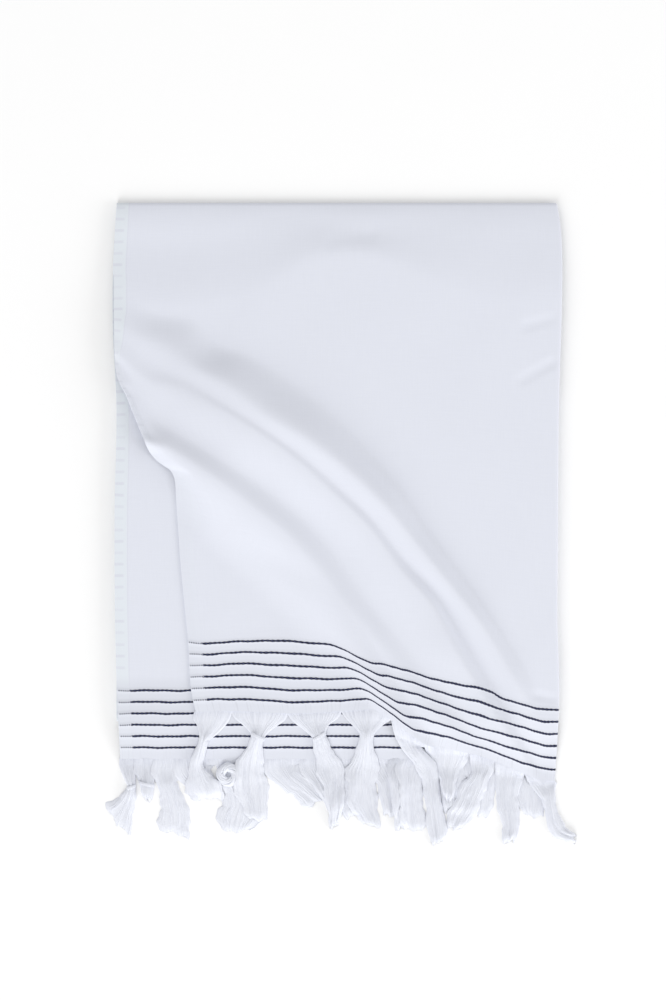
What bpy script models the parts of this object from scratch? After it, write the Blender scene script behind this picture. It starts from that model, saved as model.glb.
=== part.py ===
"""Hammam towel, folded in half across and letter-folded along its length, lying flat with one fringed end showing.

Metres, +Z up. The long side runs along Y with the fringed end towards -Y, the half-width fold lies at +X and the
self-edges at -X. The origin is on the floor, under the middle of the whole towel.
"""

import math

import bmesh
import bpy
import numpy as np
from mathutils import Matrix, Vector
from mathutils.bvhtree import BVHTree

MM = 0.001
NEAR = 0.1 * MM                # places this close count as the same

# Cloth
PLY = 1.5 * MM                 # thickness of the woven cloth
PLY_GAP = 0.8 * MM             # air between two plies that lie on each other
PITCH = PLY + PLY_GAP          # height of one ply in the stack
PAIR = 2 * PITCH               # height of the doubled cloth
HALF_WIDTH = 500 * MM          # folded width: half of the one metre cut
FOLD_RADIUS = PITCH / 2        # half-width fold, measured to the middle of the ply
TURN_RADIUS = PAIR / 2         # letter folds, measured to the middle of the pair

# Folded length, from the woven end (0) to the top fold
TOP_FOLD = 656 * MM
BOTTOM_FOLD = 70 * MM          # the hidden fold lies this far in from the woven end
TOP_RUN = 645 * MM             # cloth from the woven end to the top fold
BOTTOM_RUN = TOP_FOLD - BOTTOM_FOLD - 2 * TURN_RADIUS
TUCKED_RUN = 370 * MM          # the third that is folded in between
LEFT_RUN = 631 * MM            # the top run is laid this long at the self-edges
RIGHT_RUN = 656 * MM           # and this long at the half-width fold
TURN = math.pi * TURN_RADIUS
CLOTH_END = TOP_RUN + BOTTOM_RUN + TUCKED_RUN + 2 * TURN

# The pair on top comes down to the floor past the hidden fold, and sags past the end of the tucked third
END_DROP = (5 * MM, 78 * MM)
TOP_SAG = (545 * MM, 610 * MM)
ROW_SAG = (0.6 * HALF_WIDTH, 0.95 * HALF_WIDTH)   # where the woven rows sink towards the half-width fold

# Fringe
STRIP_GAP = 0.5 * MM
STRIP_WIDTH = 4 * MM
WEB_BITE = 1.5 * MM            # how far a tassel's gathered ends reach into the strip
WEB_THICK = 1.1 * MM
KNOT_WIDTH = 10 * MM
KNOT_LENGTH = 9 * MM
KNOT_HEIGHT = 5.5 * MM
KNOT_CROWN = 0.45              # share of the height that the knot loses at its sides
KNOT_WAIST = 0.35              # and at its front and back
KNOT_TAPER = 0.25              # share of the width that it loses at its front and back
ROOT_MARGIN = 2.5 * MM         # bare strip on each side of a tassel's gathered ends
LOCKS = 6
LOCK_THICK = 1.8 * MM
LOCK_FILL = 0.8                # share of its room that a lock fills, the rest is the slit beside it
TIP_TAPER = 0.6
TIP_WINDOW = 3 * MM
RAGGED = 0.05                  # how unevenly the locks end
SKY = 100 * MM                 # a height above everything
LAY_GAP = 1.0 * MM             # air under what lies on something else
SKIRT_STEPS = (0.3, 0.65, 1.0)
TUCKED_TASSELS = 9
TUCKED_LENGTH = 85 * MM
TUCKED_WIDTH = 9 * MM

# How the outline wanders: (distance from the woven end, sideways) in mm
SELF_EDGE = ((-90, 3), (38, 3.4), (104, 0.6), (300, -2), (433, 0), (515, -4), (575, -4), (656, 0))
RIGHT_FOLD = ((-90, -2), (0, -2), (40, 0), (110, 2), (180, 0), (270, 0.5), (440, 2), (540, 5), (600, 5.5),
              (630, 4), (656, 0))

# The drawn folds of the upper ply run down to the right. "along" is measured down that direction from the upper
# left corner, and the other columns are measured square to it, towards the lower left (mm).
RUN_X, RUN_Y = 0.76, -0.65
FOLD_LINES = (
    # along, foot, crest, hollow, second crest, far foot
    (60, 80, 105, 130, 150, 185),
    (159, 42, 86, 128, 152, 190),
    (227, 22, 80, 148, 175, 225),
    (340, 14, 66, 136, 163, 230),
    (454, 22, 70, 134, 166, 238),
    (567, 50, 88, 160, 186, 240),
    (680, 86, 116, 186, 204, 240),
    (780, 130, 160, 215, 232, 260),
)
FOLD_HEIGHTS = (
    # along, crest, hollow, second crest
    (60, 0, 0, 0),
    (159, 6, 3, 3),
    (227, 10, 4, 9),
    (340, 13, 5, 9),
    (454, 12, 5, 7.5),
    (567, 10, 4, 5.5),
    (680, 8, 3, 4.5),
    (780, 6, 2, 3),
)
# Where the cloth was pushed together: (along, pushed right, pushed up) in mm
CREST_SLIP = ((159, 34, 9), (700, 30, 4))
SECOND_SLIP = ((230, 32, 44), (620, 27, 20))
END_SLIP = ((230, 0, 0), (545, 25, 29))
SLIP_WIDTH = 46
CREST_SLIP_SHIFT = 20          # the slip lies this far past the crest
SECOND_SLIP_SHIFT = -6
SETTLE_ROUNDS = 80             # rounds in which a moved point settles on its place
SETTLE_SHARE = 0.25
# The short fold near the woven end: (along, across, height)
END_FOLD = ((340, 200, 0), (477, 196, 0), (543, 214, 5), (626, 240, 9), (720, 268, 10))
END_FOLD_WIDTH = 26
FOLD_CLEAR = 50                # the drawn folds die out this close to the half-width fold

# Tassels: where the knot and the skirt's tip lie (mm), and how wide the tip spreads
LOWER_TASSELS = (
    # knot x, knot y, tip x, tip y, spread
    (14, -3, 2, -61, 30),
    (68, -5, 68, -62, 28),
    (134, 4, 142, -59, 34),
    (203, 3, 228, -24, 20),
    (268, 2, 276, -38, 22),
    (333, -2, 339, -58, 22),
    (398, -12, 405, -44, 20),
    (462, -14, 476, -40, 22),
)
UPPER_TASSELS = (
    (101, 55, 91, -16, 34),
    (159, 55, 158, -34, 26),
    (223, 52, 247, -56, 22),
    (286, 55, 294, -53, 32),
    (334, 38, 366, -71, 24),
    (375, 17, 380, -22, 18),
    (411, 10, 390, -53, 22),
    (440, 0, 448, -69, 24),
    (489, -14, 516, -71, 24),
)

# Grid stations
CELL = 16 * MM
FLAT_CELL = 34 * MM
DRAWN_TOP = 550 * MM           # the drawn folds lie below this
TURN_STEPS = 4

COTTON = (0.80, 0.82, 0.88, 1.0)
YARN = (0.86, 0.87, 0.92, 1.0)


def column(table, key, index):
    """Read one column of a table at any place between its rows, without corners."""
    rows = np.array(table, dtype=float)
    place = rows[:, 0]
    value = rows[:, index]
    slope = np.gradient(value, place)
    key = np.clip(key, place[0], place[-1])
    row = np.clip(np.searchsorted(place, key, side="right") - 1, 0, len(place) - 2)
    span = place[row + 1] - place[row]
    t = (key - place[row]) / span
    start = (1 + 2 * t) * (1 - t) ** 2 * value[row] + t * (1 - t) ** 2 * span * slope[row]
    end = t * t * (3 - 2 * t) * value[row + 1] + t * t * (t - 1) * span * slope[row + 1]
    return start + end


def ease(low, high, value):
    """Rise from 0 at low to 1 at high with level ends."""
    t = np.clip((value - low) / (high - low), 0.0, 1.0)
    return t * t * (3 - 2 * t)


def pair_height(y):
    """Height of the middle of the top pair over the floor."""
    ground = PLY / 2 + PITCH / 2
    levels = 2 * ease(*END_DROP, y) - ease(*TOP_SAG, y)
    return ground + levels * PAIR


def fold_place(x, y):
    """Distances along and across the drawn folds, in mm."""
    right = x / MM
    up = (y - TOP_FOLD) / MM
    along = right * RUN_X + up * RUN_Y
    across = right * RUN_Y - up * RUN_X
    return along, across


def drawn_relief(x, y):
    """How high the drawn folds lift the upper ply."""
    along, across = fold_place(x, y)
    lines = [column(FOLD_LINES, along, i) for i in range(1, 6)]
    tops = [0.0] + [column(FOLD_HEIGHTS, along, i) for i in range(1, 4)] + [0.0]
    height = np.zeros_like(along)
    for i in range(4):
        step = ease(lines[i], lines[i + 1], across)
        height = height + (tops[i + 1] - tops[i]) * step
    end = np.abs(across - column(END_FOLD, along, 1)) / END_FOLD_WIDTH
    height = height + column(END_FOLD, along, 2) * (1 - ease(0.0, 1.0, end))
    clear = ease(0.0, FOLD_CLEAR, (HALF_WIDTH - x) / MM)
    return np.maximum(height, 0.0) * clear * MM


def drawn_slip(x, y):
    """How far the drawn folds have moved the upper ply to the right and up."""
    along, across = fold_place(x, y)
    pushes = (
        (CREST_SLIP, column(FOLD_LINES, along, 2) + CREST_SLIP_SHIFT),
        (SECOND_SLIP, column(FOLD_LINES, along, 4) + SECOND_SLIP_SHIFT),
        (END_SLIP, column(END_FOLD, along, 1)),
    )
    right = np.zeros_like(along)
    up = np.zeros_like(along)
    for table, line in pushes:
        share = ease(line - SLIP_WIDTH / 2, line + SLIP_WIDTH / 2, across)
        right = right + column(table, along, 1) * share
        up = up + column(table, along, 2) * share
    clear = ease(0.0, FOLD_CLEAR, (HALF_WIDTH - x) / MM)
    return right * clear * MM, up * clear * MM


def outlined(x, y):
    """Move a place on the squared towel sideways to its wandering outline."""
    left = column(SELF_EDGE, y / MM, 1) * MM
    right = HALF_WIDTH + column(RIGHT_FOLD, y / MM, 1) * MM
    return left + (right - left) * x / HALF_WIDTH


def lie(across, along):
    """Place points of the flat cloth on the folded towel.

    across runs from the upper ply's self-edge round the half-width fold to the lower ply's self-edge, and along
    runs from the woven end that shows to the one that is tucked in. Both are arrays of metres.
    """
    flat = HALF_WIDTH - FOLD_RADIUS
    arc = np.clip((across - flat) / FOLD_RADIUS, 0.0, math.pi)
    x = np.where(across < flat, across, flat + FOLD_RADIUS * np.sin(arc))
    x = np.where(arc >= math.pi, 2 * flat + math.pi * FOLD_RADIUS - across, x)
    side = FOLD_RADIUS * np.cos(arc)

    # Top run, from the woven end up to the top fold
    share = ease(*ROW_SAG, x)
    laid = LEFT_RUN + (RIGHT_RUN - LEFT_RUN) * share
    y = TOP_FOLD - (TOP_RUN - along) / TOP_RUN * laid - TURN_RADIUS * (along / TOP_RUN)
    x = outlined(x, y)
    start_x = x.copy()
    start_y = y.copy()
    upper = ease(0.0, 1.0, (side / FOLD_RADIUS)) * (along < TOP_RUN)
    for _ in range(SETTLE_ROUNDS):
        right, up = drawn_slip(x, y)
        x = x + SETTLE_SHARE * (start_x + right * upper - x)
        y = y + SETTLE_SHARE * (start_y + up * upper - y)
    tilt = np.arctan2(pair_height(y + NEAR) - pair_height(y - NEAR), 2 * NEAR)
    top_y = y - side * np.sin(tilt)
    top_z = pair_height(y) + side * np.cos(tilt) + drawn_relief(x, y) * upper

    # Top fold, bottom run, bottom fold and tucked run follow each other along one path
    past = along - TOP_RUN
    ground = PLY / 2 + PITCH / 2
    turned = np.clip(past / TURN_RADIUS, 0.0, math.pi)
    bottom = np.clip(past - TURN, 0.0, BOTTOM_RUN)
    turned_back = np.clip((past - TURN - BOTTOM_RUN) / TURN_RADIUS, 0.0, math.pi)
    tucked = np.maximum(past - 2 * TURN - BOTTOM_RUN, 0.0)
    angle = turned + turned_back
    centre_y = TOP_FOLD - TURN_RADIUS - bottom + tucked
    centre_z = ground + TURN_RADIUS
    reach = TURN_RADIUS + side
    path_y = centre_y + reach * np.sin(angle)
    path_z = centre_z + reach * np.cos(angle)
    on_top = along <= TOP_RUN
    return np.stack((x, np.where(on_top, top_y, path_y), np.where(on_top, top_z, path_z)), axis=-1)


def stations(*runs):
    """Places along a line, each run given as (start, end, number of cells)."""
    places = [runs[0][0]]
    for start, end, cells in runs:
        places += [start + (end - start) * (i + 1) / cells for i in range(cells)]
    return np.array(places)


def across_stations():
    flat = HALF_WIDTH - FOLD_RADIUS
    arc_end = flat + math.pi * FOLD_RADIUS
    return stations(
        (0.0, flat, round(flat / CELL)),
        (flat, arc_end, TURN_STEPS),
        (arc_end, arc_end + flat, 4),
    )


def flat_sheet(name, across, along, material):
    """A sheet of the flat cloth: a grid whose x and y are places across and along it."""
    bpy.ops.mesh.primitive_grid_add(x_subdivisions=len(across) - 1, y_subdivisions=len(along) - 1, size=2)
    sheet = bpy.context.object
    sheet.name = name
    sheet.data.name = name
    sheet.data.materials.append(material)
    for vertex in sheet.data.vertices:
        column_number = round((vertex.co.x + 1) / 2 * (len(across) - 1))
        row_number = round((vertex.co.y + 1) / 2 * (len(along) - 1))
        vertex.co = (across[column_number], along[row_number], 0.0)
    return sheet


def fold_up(sheet):
    """Fold a flat sheet point by point and give it its thickness."""
    flat = np.array([vertex.co[:] for vertex in sheet.data.vertices])
    for vertex, place in zip(sheet.data.vertices, lie(flat[:, 0], flat[:, 1])):
        vertex.co = place
    thicken(sheet)


def thicken(sheet):
    wall = sheet.modifiers.new("Ply", "SOLIDIFY")
    wall.thickness = PLY
    wall.offset = 0.0
    wall.use_even_offset = True
    bpy.ops.object.select_all(action="DESELECT")
    bpy.context.view_layer.objects.active = sheet
    sheet.select_set(True)
    bpy.ops.object.modifier_apply(modifier=wall.name)


def new_material(name, colour, roughness):
    material = bpy.data.materials.new(name)
    material.use_nodes = True
    material.diffuse_color = colour
    shader = material.node_tree.nodes["Principled BSDF"]
    shader.inputs["Base Color"].default_value = colour
    shader.inputs["Roughness"].default_value = roughness
    shader.inputs["Metallic"].default_value = 0.0
    return material


def make_cloth(material):
    top_cells = round((TOP_FOLD - DRAWN_TOP) / FLAT_CELL)
    drawn_cells = round(DRAWN_TOP / CELL)
    turn_end = TOP_RUN + TURN
    bottom_end = turn_end + BOTTOM_RUN
    back_end = bottom_end + TURN
    along = stations(
        (0.0, DRAWN_TOP, drawn_cells),
        (DRAWN_TOP, TOP_RUN, top_cells),
        (TOP_RUN, turn_end, TURN_STEPS + 1),
        (turn_end, bottom_end, 6),
        (bottom_end, back_end, TURN_STEPS),
        (back_end, CLOTH_END, 4),
    )
    cloth = flat_sheet("towel_cloth", across_stations(), along, material)
    fold_up(cloth)
    return cloth


def rest_height(grounds, place, window, forward, beside):
    """Height at which something lies on the highest thing under a place and the stretch before and after it."""
    best = 0.0
    for ground in grounds:
        for ahead in (-1.0, -0.5, 0.0, 0.5, 1.0):
            for aside in (-1.0, 0.0, 1.0):
                under = place + forward * window * ahead + beside * KNOT_WIDTH * aside
                hit = ground.ray_cast(Vector((under.x, under.y, SKY)), Vector((0.0, 0.0, -1.0)))[0]
                if hit is not None:
                    best = max(best, hit.z + LAY_GAP)
    return best


def tassel(row, root_across, grounds):
    """One knotted tassel: a knot whose front faces are drawn out into locks, and whose back faces are drawn out into
    the gathered warp ends that reach the strip."""
    knot_x, knot_y, tip_x, tip_y, spread = [value * MM for value in row]
    knot = Vector((knot_x, knot_y))
    tip = Vector((tip_x, tip_y))
    roots = on_strip(root_across)
    if roots[0][0] > roots[-1][0]:
        roots = roots[::-1]
    root = Vector(roots.mean(axis=0)[:2])
    heading = ((knot - root).normalized() + (tip - knot).normalized()).normalized()
    beside = Vector((-heading.y, heading.x))

    mesh = bmesh.new()
    bmesh.ops.create_cube(mesh, size=1.0)
    wide = [edge for edge in mesh.edges if abs(edge.verts[0].co.x - edge.verts[1].co.x) > 0.5]
    bmesh.ops.subdivide_edges(mesh, edges=wide, cuts=LOCKS - 1, use_grid_fill=True)
    deep = [edge for edge in mesh.edges if abs(edge.verts[0].co.y - edge.verts[1].co.y) > 0.5]
    bmesh.ops.subdivide_edges(mesh, edges=deep, cuts=1, use_grid_fill=True)
    front = [face for face in mesh.faces if face.normal.y < -0.9]
    front.sort(key=lambda face: face.calc_center_median().x)
    back = [face for face in mesh.faces if face.normal.y > 0.9]
    floor = rest_height(grounds, knot, KNOT_LENGTH / 2, heading, beside)
    for vertex in mesh.verts:
        sideways, backwards = 2 * vertex.co.x, 2 * vertex.co.y
        place = knot + beside * (sideways * KNOT_WIDTH / 2 * (1 - KNOT_TAPER * backwards ** 2))
        place -= heading * (backwards * KNOT_LENGTH / 2)
        crown = KNOT_HEIGHT * (1 - KNOT_CROWN * sideways ** 2) * (1 - KNOT_WAIST * backwards ** 2)
        vertex.co = (place.x, place.y, floor + (crown if vertex.co.z > 0 else 0.0))

    gathered = bmesh.ops.extrude_face_region(mesh, geom=back)
    ends = [item for item in gathered["geom"] if isinstance(item, bmesh.types.BMVert)]
    bmesh.ops.delete(mesh, geom=back, context="FACES")
    ends.sort(key=lambda vertex: vertex.co.xy.dot(beside))
    for i, place in enumerate(roots):
        pair = sorted(ends[2 * i:2 * i + 2], key=lambda vertex: vertex.co.z)
        for vertex, lift in zip(pair, (-0.5, 0.5)):
            vertex.co = Vector(place) + Vector((0.0, 0.0, lift * WEB_THICK))

    for i, face in enumerate(front):
        draw_lock(mesh, face, i, (knot + heading * KNOT_LENGTH / 2, heading, tip, spread), grounds)
    bmesh.ops.recalc_face_normals(mesh, faces=mesh.faces)
    return mesh


def draw_lock(mesh, face, index, skirt, grounds):
    """Draw one of the knot's front faces out into a lock that lies level on what is under it."""
    start, heading, tip, spread = skirt
    length = (tip - start).length
    bend = start + heading * length / 2
    ragged = 1 + RAGGED * math.sin(5.1 * index + 90 * start.x)
    slot = (index + 0.5) / LOCKS - 0.5
    for step in SKIRT_STEPS:
        t = step * ragged
        centre = start * (1 - t) ** 2 + bend * (2 * t * (1 - t)) + tip * t ** 2
        forward = ((bend - start) * (1 - t) + (tip - bend) * t).normalized()
        beside = Vector((-forward.y, forward.x))
        width = KNOT_WIDTH + (spread - KNOT_WIDTH) * math.sin(step * math.pi / 2)
        centre = centre + beside * slot * width
        half = width / LOCKS * LOCK_FILL / 2
        window = length * SKIRT_STEPS[0]
        if step == SKIRT_STEPS[-1]:
            half *= TIP_TAPER
            window = TIP_WINDOW
        level = rest_height(grounds, centre, window, forward, beside * half / KNOT_WIDTH)
        face = bmesh.ops.extrude_discrete_faces(mesh, faces=[face])["faces"][0]
        corners = sorted(face.verts, key=lambda vertex: vertex.co.z)
        for pair, height in ((corners[:2], level), (corners[2:], level + LOCK_THICK)):
            pair.sort(key=lambda vertex: vertex.co.xy.dot(beside))
            for vertex, side in zip(pair, (-half, half)):
                vertex.co = (*(centre + beside * side), height)


def on_strip(places):
    """Points inside the strip, a little in from its free side, on the straight runs between its stations."""
    known = across_stations()
    line = lie(known, np.full(len(known), -(STRIP_GAP + STRIP_WIDTH - WEB_BITE)))
    return np.stack([np.interp(places, known, line[:, axis]) for axis in range(3)], axis=-1)


def mesh_object(name, mesh):
    data = bpy.data.meshes.new(name)
    mesh.to_mesh(data)
    mesh.free()
    item = bpy.data.objects.new(name, data)
    bpy.context.collection.objects.link(item)
    return item


def root_places(count, first, last):
    """Where each tassel's warp ends leave the woven end, as places across the flat cloth."""
    room = (last - first) / count
    margin = math.copysign(ROOT_MARGIN, room)
    return [
        [first + room * i + margin + (room - 2 * margin) * j / LOCKS for j in range(LOCKS + 1)]
        for i in range(count)
    ]


def make_end_fringe(cloth, material):
    strip_along = stations((-STRIP_GAP - STRIP_WIDTH, -STRIP_GAP, 1))
    strip = flat_sheet("end_fringe", across_stations(), strip_along, material)
    fold_up(strip)
    flat = HALF_WIDTH - FOLD_RADIUS
    arc_end = flat + math.pi * FOLD_RADIUS
    cloth_ground = BVHTree.FromObject(cloth, bpy.context.evaluated_depsgraph_get())
    grounds = [cloth_ground]
    lower_roots = root_places(len(LOWER_TASSELS), arc_end + flat, arc_end)
    upper_roots = root_places(len(UPPER_TASSELS), 0.0, flat)
    rows = list(zip(LOWER_TASSELS, lower_roots)) + list(zip(UPPER_TASSELS, upper_roots))
    for row, roots in rows:
        mesh = tassel(row, roots, grounds)
        grounds.append(BVHTree.FromBMesh(mesh))
        join(strip, mesh_object("tassel", mesh))
    return strip


def make_tucked_fringe(material):
    """The hidden end's fringe: a strip with one plain flat lock for each tassel."""
    flat = HALF_WIDTH - FOLD_RADIUS
    arc_end = flat + math.pi * FOLD_RADIUS
    room = flat / TUCKED_TASSELS
    across = [0.0]
    for start in (0.0, arc_end):
        for i in range(TUCKED_TASSELS):
            middle = start + room * (i + 0.5)
            across += [middle - TUCKED_WIDTH / 2, middle + TUCKED_WIDTH / 2]
        if start == 0.0:
            across += list(stations((flat, arc_end, TURN_STEPS)))
    across.append(arc_end + flat)
    along = np.array((CLOTH_END + STRIP_GAP, CLOTH_END + STRIP_GAP + STRIP_WIDTH))
    fringe = flat_sheet("tucked_fringe", np.array(across), along, material)
    mesh = bmesh.new()
    mesh.from_mesh(fringe.data)
    roots = [
        edge for edge in mesh.edges
        if all(vertex.co.y > along[1] - NEAR for vertex in edge.verts)
        and abs(edge.calc_length() - TUCKED_WIDTH) < NEAR
    ]
    for root in roots:
        middle = (root.verts[0].co.x + root.verts[1].co.x) / 2
        drawn = bmesh.ops.extrude_edge_only(mesh, edges=[root])
        for vertex in (item for item in drawn["geom"] if isinstance(item, bmesh.types.BMVert)):
            vertex.co.x = middle + (vertex.co.x - middle) * TIP_TAPER
            vertex.co.y += TUCKED_LENGTH
    mesh.to_mesh(fringe.data)
    mesh.free()
    fold_up(fringe)
    return fringe


def stand_on_origin(parts):
    """Bring the origin under the middle of the whole towel."""
    corners = [vertex.co for part in parts for vertex in part.data.vertices]
    middle_x = (min(corner.x for corner in corners) + max(corner.x for corner in corners)) / 2
    middle_y = (min(corner.y for corner in corners) + max(corner.y for corner in corners)) / 2
    for part in parts:
        part.data.transform(Matrix.Translation((-middle_x, -middle_y, 0.0)))


def join(body, piece):
    """Fuse a piece into a body and remove the piece."""
    union = body.modifiers.new("Root", "BOOLEAN")
    union.operation = "UNION"
    union.solver = "EXACT"
    union.use_self = True
    union.object = piece
    bpy.ops.object.select_all(action="DESELECT")
    bpy.context.view_layer.objects.active = body
    body.select_set(True)
    bpy.ops.object.modifier_apply(modifier=union.name)
    bpy.data.objects.remove(piece)


def main():
    for item in list(bpy.data.objects):
        bpy.data.objects.remove(item)
    parts = bpy.data.collections.new("hammam_towel")
    bpy.context.scene.collection.children.link(parts)
    bpy.context.view_layer.active_layer_collection = bpy.context.view_layer.layer_collection.children[parts.name]
    cloth = make_cloth(new_material("cotton_cloth", COTTON, 0.9))
    yarn = new_material("fringe_yarn", YARN, 0.92)
    end_fringe = make_end_fringe(cloth, yarn)
    tucked_fringe = make_tucked_fringe(yarn)
    stand_on_origin((cloth, end_fringe, tucked_fringe))


main()
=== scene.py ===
"""Looks of a hammam towel that lies folded on a pale floor.

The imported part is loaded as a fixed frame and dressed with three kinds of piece: the woven cloth
with its drawn folds, stripes and self-edges, the knotted tassels of the end that shows, and the
fringe that is tucked inside. Sizes are in millimetres where nothing else is said.
"""

import math

import bpy
import numpy as np
from bpy.props import FloatProperty, FloatVectorProperty, IntProperty, PointerProperty
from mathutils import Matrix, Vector
from mathutils.bvhtree import BVHTree


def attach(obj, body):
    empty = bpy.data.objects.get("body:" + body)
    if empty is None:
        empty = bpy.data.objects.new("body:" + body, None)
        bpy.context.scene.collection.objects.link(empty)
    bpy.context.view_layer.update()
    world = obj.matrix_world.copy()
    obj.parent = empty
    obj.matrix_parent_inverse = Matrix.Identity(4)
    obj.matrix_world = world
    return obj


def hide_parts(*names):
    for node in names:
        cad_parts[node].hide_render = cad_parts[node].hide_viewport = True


bl_info = {
    "name": "Hammam Towel",
    "version": (1, 0, 0),
    "blender": (4, 5, 0),
    "location": "View3D > Sidebar > Towel",
    "description": "Dresses the folded towel: woven cloth, knotted tassels and tucked fringe",
    "category": "Object",
}

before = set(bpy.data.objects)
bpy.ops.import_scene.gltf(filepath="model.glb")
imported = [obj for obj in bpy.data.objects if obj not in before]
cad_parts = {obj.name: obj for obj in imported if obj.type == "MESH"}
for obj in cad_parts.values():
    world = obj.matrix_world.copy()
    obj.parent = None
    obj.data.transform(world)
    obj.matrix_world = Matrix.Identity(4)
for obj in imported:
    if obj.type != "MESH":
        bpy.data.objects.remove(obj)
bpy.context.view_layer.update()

MM = 0.001

# The layout: x runs from the self-edges to the half-width fold, y from the woven end to the top fold
MIDDLE = (257.7, 290.3)        # the layout's place of the frame's origin
PLY = 1.5                      # thickness of the woven cloth
PLY_AIR = 0.8                  # air between two plies
HALF_WIDTH = 500.0
TOP_FOLD = 656.0
BOTTOM_FOLD = 70.0
TOP_RUN = 645.0                # cloth on top, from the woven end to the top fold
TUCKED_RUN = 370.0             # the third that is folded in between
LEFT_RUN = 631.0               # the top run is laid this long at the self-edges
RIGHT_RUN = 656.0              # and this long at the half-width fold
RUN_CHANGE = (0.74, 1.0)       # where it changes, as shares of the half width
END_DROP = (5.0, 78.0)         # where the woven end comes down to the floor
# x, where the top run starts to sink on to the run below, where it has sunk
TOP_SAG = (
    (0, 538, 618), (110, 540, 622), (172, 560, 642), (210, 586, 640), (245, 600, 635),
    (305, 592, 631), (355, 568, 642), (430, 545, 652), (500, 545, 652),
)
PRESSED = (624.0, 656.0, 0.35)  # the top fold is pressed flat: from y to y, share of the height

# How the outline wanders: (distance from the woven end, sideways)
SELF_EDGE = (
    (-90, 3), (38, 3.4), (104, 0.6), (300, -2), (433, 0), (515, -4), (575, -4), (656, 0),
)
RIGHT_FOLD = (
    (-90, -2), (0, -2), (40, 0), (110, 2), (180, 0), (270, 0.5), (440, 2), (540, 5), (600, 5.5),
    (630, 4), (656, 0),
)

# The drawn folds run down to the right from the upper left corner
RUN_X, RUN_Y = 0.76, -0.65
FOLD_LINES = (
    # along, foot, crest, groove, second crest, hollow, third crest, far foot
    (60, 70, 104, 120, 127, 142, 158, 180),
    (110, 66, 99, 116, 127, 135, 153, 178),
    (159, 41, 87, 114, 126, 147, 167, 188),
    (190, 46, 85, 103, 112, 156, 181, 200),
    (227, 32, 77, 95, 104, 152, 172, 203),
    (280, 23, 73, 87, 95, 143, 165, 220),
    (340, 21, 63, 81, 89, 135, 162, 230),
    (400, 28, 60, 81, 90, 134, 161, 234),
    (454, 36, 63, 84, 93, 141, 171, 238),
    (510, 52, 73, 96, 105, 156, 180, 244),
    (567, 64, 83, 103, 114, 166, 192, 250),
    (620, 77, 93, 120, 135, 178, 203, 245),
    (680, 95, 113, 140, 155, 190, 207, 240),
    (780, 130, 150, 172, 185, 212, 228, 262),
)
FOLD_HEIGHTS = (
    # along, crest, groove, second crest, hollow, third crest
    (60, 0, 0, 0, 0, 0),
    (110, 4.4, 3.2, 3.5, 1.0, 4.0),
    (159, 9.4, 6.7, 7.1, 4.0, 7.4),
    (190, 13.0, 11.2, 11.8, 5.3, 12.0),
    (227, 16.8, 15.2, 16.3, 9.2, 15.8),
    (280, 19.4, 17.9, 19.2, 13.1, 19.6),
    (340, 20, 16.6, 18.2, 10.8, 18.5),
    (400, 18.3, 13.8, 16.0, 7.2, 15.7),
    (454, 16.6, 11.2, 14.4, 6, 14.0),
    (510, 13.2, 8.0, 12.6, 5.4, 12),
    (567, 11.6, 5.8, 12.9, 5.4, 10.4),
    (620, 10.2, 4.6, 14.2, 5, 8.6),
    (680, 8.6, 3.8, 12, 4, 6.4),
    (780, 6, 2.8, 8, 2.8, 3.8),
)
# along, across, height of the low fold beside the last one
END_FOLD = (
    (340, 200, 0), (477, 184, 0), (543, 210, 6), (626, 236, 11), (720, 262, 11),
)
END_FOLD_WIDTH = 24.0
FOLD_CLEAR = 50.0              # the drawn folds end this near to the half-width fold

# Where the cloth was pushed together, each as (along, across, pushed right, pushed up)
CREST_SLIP = (
    (60, 118.4, 35.5, 0.3), (159, 99.4, -30.6, 13.6), (227, 92.9, 3.0, 22.0),
    (260, 88.6, 19.2, 25.0), (340, 78.4, 38.5, 18.5), (400, 78.0, 48.7, 12.6),
    (454, 79.4, 50.5, 15.0), (567, 96.4, 49.0, 19.5), (700, 132.0, 17.7, -1.1),
)
THIRD_SLIP = (
    (60, 144.9, 88.6, 22.8), (159, 146.9, 54.0, 28.0), (227, 169.4, 53.0, 36.5),
    (260, 166.5, 54.2, 37.3), (340, 157.4, 52.5, 24.0), (400, 158.5, 49.6, 15.6),
    (454, 162.9, 46.0, 13.5), (567, 182.9, 37.0, 11.8), (700, 203.0, 0.0, 12.1),
)
END_SLIP = (
    (300, 208.0, -15.0, 15.3), (450, 197.0, -12.4, 28.4), (543, 215.6, 14.0, 21.0),
    (626, 241.6, 26.0, 36.0), (700, 262.0, 31.2, 55.8),
)
SLIPS = ((CREST_SLIP, 38.3), (THIRD_SLIP, 50.4), (END_SLIP, 33.3))

# The upper ply's self-edge where it was drawn away from the lower one: (along, x, y)
DRAWN_EDGE = (
    (0, 90.5, 78.9), (13.5, 87.1, 92.2), (80.5, 81.6, 158.2), (175, 72.6, 251.7),
    (243, 68.0, 319.8), (268, 66.2, 345.0), (281, 62.0, 353.5), (294, 55.0, 358.5),
    (308, 46.6, 364.5), (324, 38.6, 374.2), (340, 32.9, 386.7), (363, 24.9, 406.0),
    (387, 17.0, 425.3), (406, 11.1, 440.0), (423, 5.2, 450.5), (444, 0.2, 464.0),
    (470, -1.6, 488.0), (500, -2.2, 516.0), (540, -2.6, 552.6), (570, -2.8, 581.0),
)
EDGE_REACH = 60.0              # how far in from the self-edge the cloth follows it
EDGE_DROOP = (0.5, 26.0)       # share of the lift that the self-edge gives up, over what width
DROOP_END = (318.0, 342.0)     # where along the cloth the droop ends
EDGE_CURL = (3.2, 12.0)        # where the self-edge stands up: height and width of the curl
CURL_SINK = (0.45, 42.0)       # the droop behind the curl: share and width
CURL_RUN = (330.0, 352.0, 404.0, 428.0)
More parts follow.
